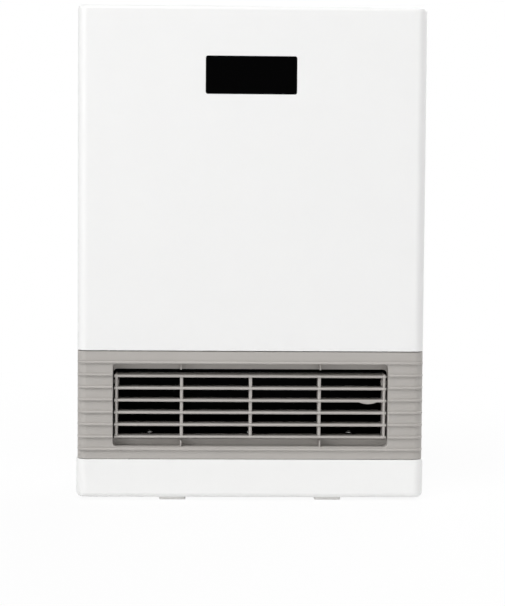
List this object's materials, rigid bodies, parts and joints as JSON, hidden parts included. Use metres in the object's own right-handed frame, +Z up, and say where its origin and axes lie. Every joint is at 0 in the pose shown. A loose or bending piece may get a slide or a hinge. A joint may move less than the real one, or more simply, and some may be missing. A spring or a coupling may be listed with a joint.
{
  "type": "ceramic heater",
  "caption": "Slim upright fan heater: white panel over a ribbed grey outlet with a tilting louvre, dark display window, push buttons on top and a lift-off rear air filter.",
  "frame": {"origin": "on the floor under the middle of the heater, at the underside of the rubber feet", "axes": "+Z up, +Y to the back, the outlet and the display face -Y, +X to the right seen from the front"},
  "size_m": [0.34, 0.152, 0.48],
  "materials": {
    "panel_paint": "smooth white powder coat",
    "white_plastic": "fine satin moulding",
    "grey_plastic": "satin grey moulding",
    "window_black": "glossy dark lens",
    "fascia_black": "satin dark plate",
    "black_plastic": "plain black moulding",
    "natural_plastic": "plain natural nylon",
    "rubber_black": "matt rubber",
    "rubber_pale": "pale matt rubber",
    "steel_sheet": "zinc-coated sheet",
    "steel_bar": "bright ground steel",
    "aluminium": "mill finish",
    "stone": "fired ceramic",
    "brass": "plain brass",
    "motor_paint": "dark enamel",
    "board": "green circuit board",
    "relay_blue": "blue case",
    "wire": "heat-proof sleeve"
  },
  "bodies": {
    "housing": {"front_panel": "panel_paint", "base_tray": "white_plastic", "rear_cover": "white_plastic", "top_cover": "white_plastic", "outlet_surround": "grey_plastic", "display_window": "window_black", "control_fascia": "fascia_black", "display_holder": "black_plastic", "display_digits": "black_plastic", "outlet_duct": "black_plastic", "heater_end_blocks": "black_plastic", "tact_switches": "black_plastic", "buzzer": "black_plastic", "thermal_cutout": "black_plastic", "capacitors": "black_plastic", "mains_gland": "black_plastic", "tip_switch_housing": "black_plastic", "tip_microswitch": "black_plastic", "board_standoffs": "natural_plastic", "terminal_block": "natural_plastic", "bearing_mount": "rubber_black", "wire_grommet": "rubber_black", "base_feet": "rubber_pale", "chassis_plate": "steel_sheet", "heater_frame": "steel_sheet", "fan_scroll": "steel_sheet", "fan_tongue": "steel_sheet", "fan_end_plates": "steel_sheet", "motor_bracket": "steel_sheet", "duct_screws": "steel_bar", "case_screws": "steel_bar", "heater_fins": "aluminium", "heater_tubes": "aluminium", "heat_sink": "aluminium", "heat_shield": "aluminium", "ptc_stones": "stone", "thermal_fuse": "stone", "room_sensor": "stone", "heater_terminals": "brass", "fan_bush": "brass", "fan_motor": "motor_paint", "transformer": "motor_paint", "display_board": "board", "control_board": "board", "main_board": "board", "power_relays": "relay_blue", "power_leads": "wire", "heater_leads": "wire"},
    "louvre": {"louvre": "grey_plastic"},
    "fan": {"fan_rotor": "black_plastic", "fan_shaft": "steel_bar"},
    "filter": {"filter_frame": "grey_plastic", "filter_mesh": "black_plastic"},
    "power_button": {"power_button": "white_plastic"},
    "mode_button": {"mode_button": "grey_plastic"},
    "warmer_button": {"warmer_button": "grey_plastic"},
    "cooler_button": {"cooler_button": "grey_plastic"},
    "timer_button": {"timer_button": "grey_plastic"},
    "tip_plunger": {"tip_switch_plunger": "natural_plastic"}
  },
  "joints": [
    {"name": "louvre_tilt", "type": "hinge", "parent": "housing", "child": "louvre", "pos_m": [0, -0.06, 0.1144], "axis": [1, 0, 0], "range_deg": [-4, 8]},
    {"name": "fan_spin", "type": "hinge", "parent": "housing", "child": "fan", "pos_m": [0, 0.02098, 0.222], "axis": [1, 0, 0], "continuous": true},
    {"name": "filter_pull", "type": "slide", "parent": "housing", "child": "filter", "axis": [0, 1, 0], "range_m": [0, 0.04]},
    {"name": "power_press", "type": "slide", "parent": "housing", "child": "power_button", "axis": [0, 0, -1], "range_m": [0, 0.001], "stiffness_N_per_m": 700, "springref_m": -0.001},
    {"name": "mode_press", "type": "slide", "parent": "housing", "child": "mode_button", "axis": [0, 0, -1], "range_m": [0, 0.001], "stiffness_N_per_m": 700, "springref_m": -0.001},
    {"name": "warmer_press", "type": "slide", "parent": "housing", "child": "warmer_button", "axis": [0, 0, -1], "range_m": [0, 0.001], "stiffness_N_per_m": 700, "springref_m": -0.001},
    {"name": "cooler_press", "type": "slide", "parent": "housing", "child": "cooler_button", "axis": [0, 0, -1], "range_m": [0, 0.001], "stiffness_N_per_m": 700, "springref_m": -0.001},
    {"name": "timer_press", "type": "slide", "parent": "housing", "child": "timer_button", "axis": [0, 0, -1], "range_m": [0, 0.001], "stiffness_N_per_m": 700, "springref_m": -0.001},
    {"name": "tip_plunger_slide", "type": "slide", "parent": "housing", "child": "tip_plunger", "axis": [0, 0, -1], "range_m": [0, 0.003], "stiffness_N_per_m": 100, "springref_m": 0.004}
  ]
}
